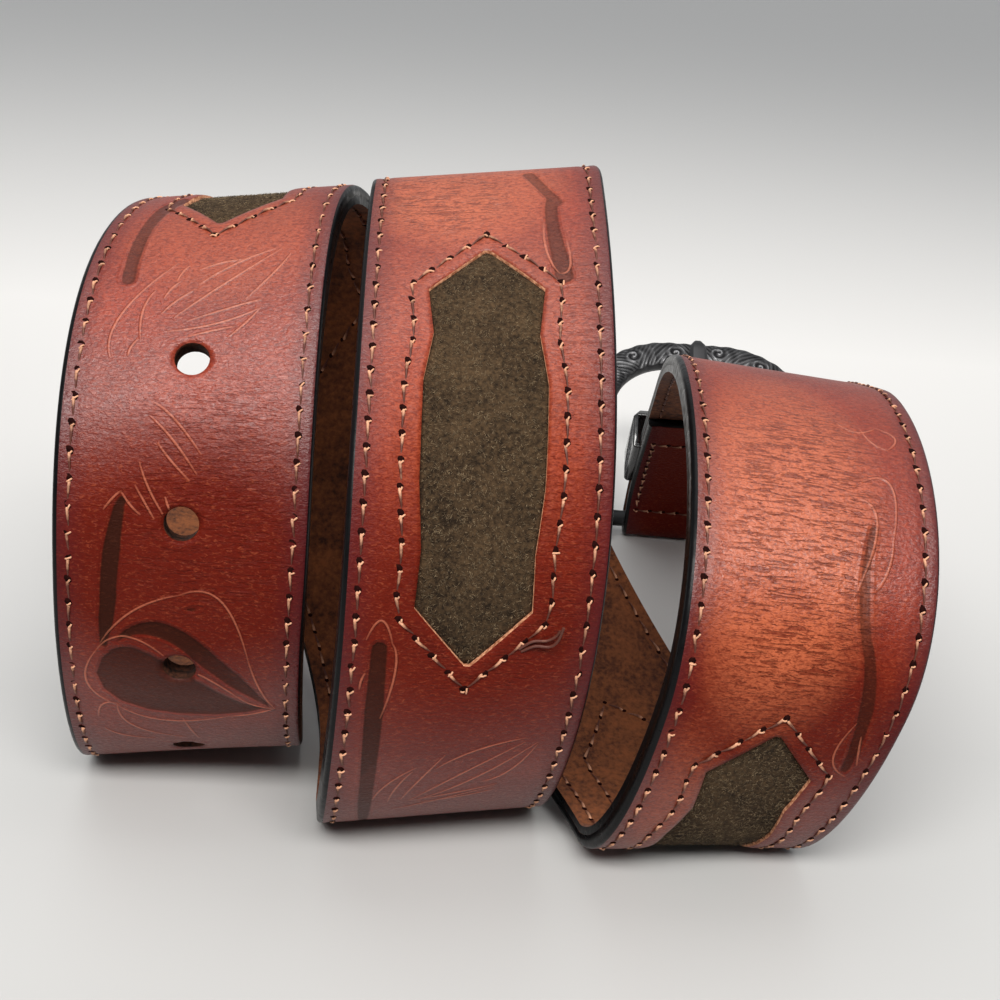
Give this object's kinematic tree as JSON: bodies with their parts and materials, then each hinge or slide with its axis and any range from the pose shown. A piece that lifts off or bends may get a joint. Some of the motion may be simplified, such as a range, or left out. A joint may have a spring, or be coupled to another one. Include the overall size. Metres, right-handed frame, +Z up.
{
  "type": "western tooled leather belt, rolled up",
  "caption": "Tooled leather belt with suede-inlaid windows and an engraved western buckle, rolled in loose loops and lying on its side.",
  "frame": {"origin": "on the floor, in the middle of the flat on which the middle loop rests", "axes": "+X across the strap from the tip's loop to the buckle's loop, +Y from the loops' fronts back to the buckle, +Z up"},
  "size_m": [0.1731, 0.2082, 0.107],
  "materials": {
    "grain_leather": "cognac red full grain, semi-gloss, tooled, with black painted edges",
    "lining_suede": "brown suede, matte",
    "inlay_suede": "olive-brown suede, matte with light fibres",
    "black_metal": "gloss black",
    "dark_pewter": "antiqued dark pewter with rubbed highlights"
  },
  "bodies": {
    "strap": {"strap_face": "grain_leather", "strap_lining": "lining_suede", "inlay_panel_1": "inlay_suede", "inlay_panel_2": "inlay_suede", "inlay_panel_3": "inlay_suede", "keeper": "black_metal"},
    "buckle": {"buckle_frame": "dark_pewter"},
    "prong": {"prong": "dark_pewter"}
  },
  "joints": [
    {"name": "buckle_swing", "type": "hinge", "parent": "strap", "child": "buckle", "pos_m": [0.0613, 0.11748, 0.0042], "axis": [1, 0, 0], "range_deg": [-93, 12]},
    {"name": "prong_swing", "type": "hinge", "parent": "buckle", "child": "prong", "pos_m": [0.0613, 0.11748, 0.0042], "axis": [1, 0, 0], "range_deg": [0, 25]}
  ]
}
